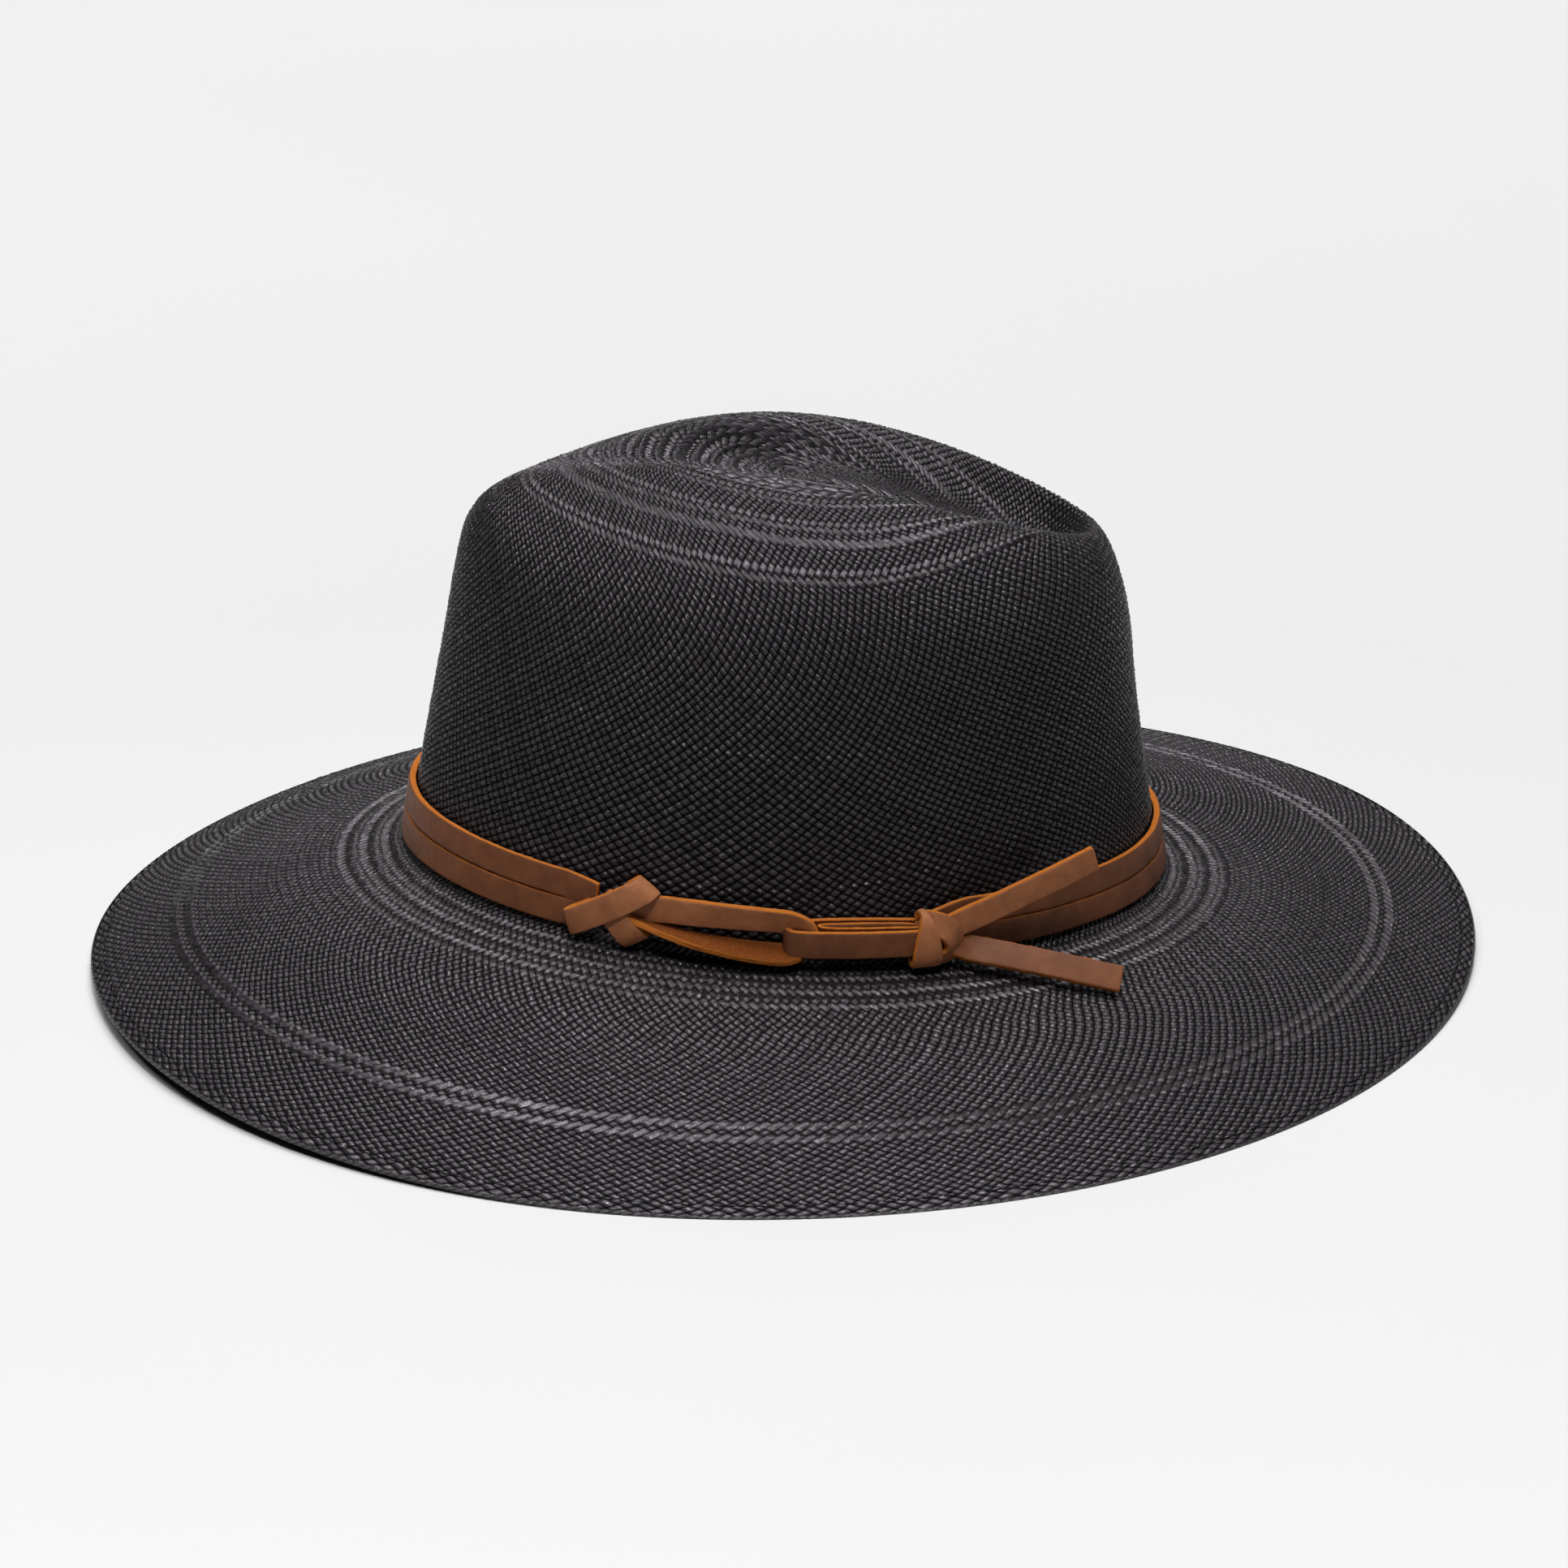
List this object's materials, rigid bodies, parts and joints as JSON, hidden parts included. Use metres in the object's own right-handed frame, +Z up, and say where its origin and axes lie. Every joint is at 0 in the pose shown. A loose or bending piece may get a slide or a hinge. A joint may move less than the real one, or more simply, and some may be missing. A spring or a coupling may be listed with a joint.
{
  "type": "panama hat",
  "caption": "Woven straw hat with a pinched teardrop crown, a gently sloped brim, a sweatband inside and a leather lace tied round the crown.",
  "frame": {"origin": "under the middle of the hat, on the surface that the brim rests on", "axes": "-Y is the front of the hat, +X is the wearer's left, +Z is up"},
  "size_m": [0.3518, 0.3822, 0.1436],
  "materials": {
    "straw": "fine woven straw, dyed black, soft sheen",
    "brown_leather": "smooth brown grain, raw orange-tan edges, suede back",
    "sweatband_leather": "soft black grain",
    "black_ribbon": "ribbed ribbon",
    "reed_plastic": "covered reed",
    "black_thread": "twisted thread",
    "tag_fabric": "woven label cloth, blank"
  },
  "bodies": {
    "hat": {"woven_body": "straw", "sweatband": "sweatband_leather", "sweatband_reed": "reed_plastic", "sweatband_stitching": "black_thread", "bow_loops": "black_ribbon", "bow_wrap": "black_ribbon", "size_tag": "tag_fabric"},
    "tie_band": {"upper_strand": "brown_leather", "lower_strand": "brown_leather", "left_knot": "brown_leather", "right_knot": "brown_leather", "loop_upper_run": "brown_leather", "loop_lower_run": "brown_leather", "fold_back_strip": "brown_leather"},
    "upper_end": {"upper_tail": "brown_leather"},
    "lower_end": {"lower_tail": "brown_leather"}
  },
  "joints": [
    {"name": "band_lift", "type": "slide", "parent": "hat", "child": "tie_band", "axis": [0, 0, 1], "range_m": [0, 0.14]},
    {"name": "upper_tail_bend", "type": "hinge", "parent": "tie_band", "child": "upper_end", "pos_m": [0.08894, 0.01091, 0.03682], "axis": [-0.0037, 0.3387, -0.9409], "range_deg": [0, 35]},
    {"name": "lower_tail_bend", "type": "hinge", "parent": "tie_band", "child": "lower_end", "pos_m": [0.09017, 0.01142, 0.02879], "axis": [0.5349, -0.4231, -0.7313], "range_deg": [0, 45]}
  ]
}
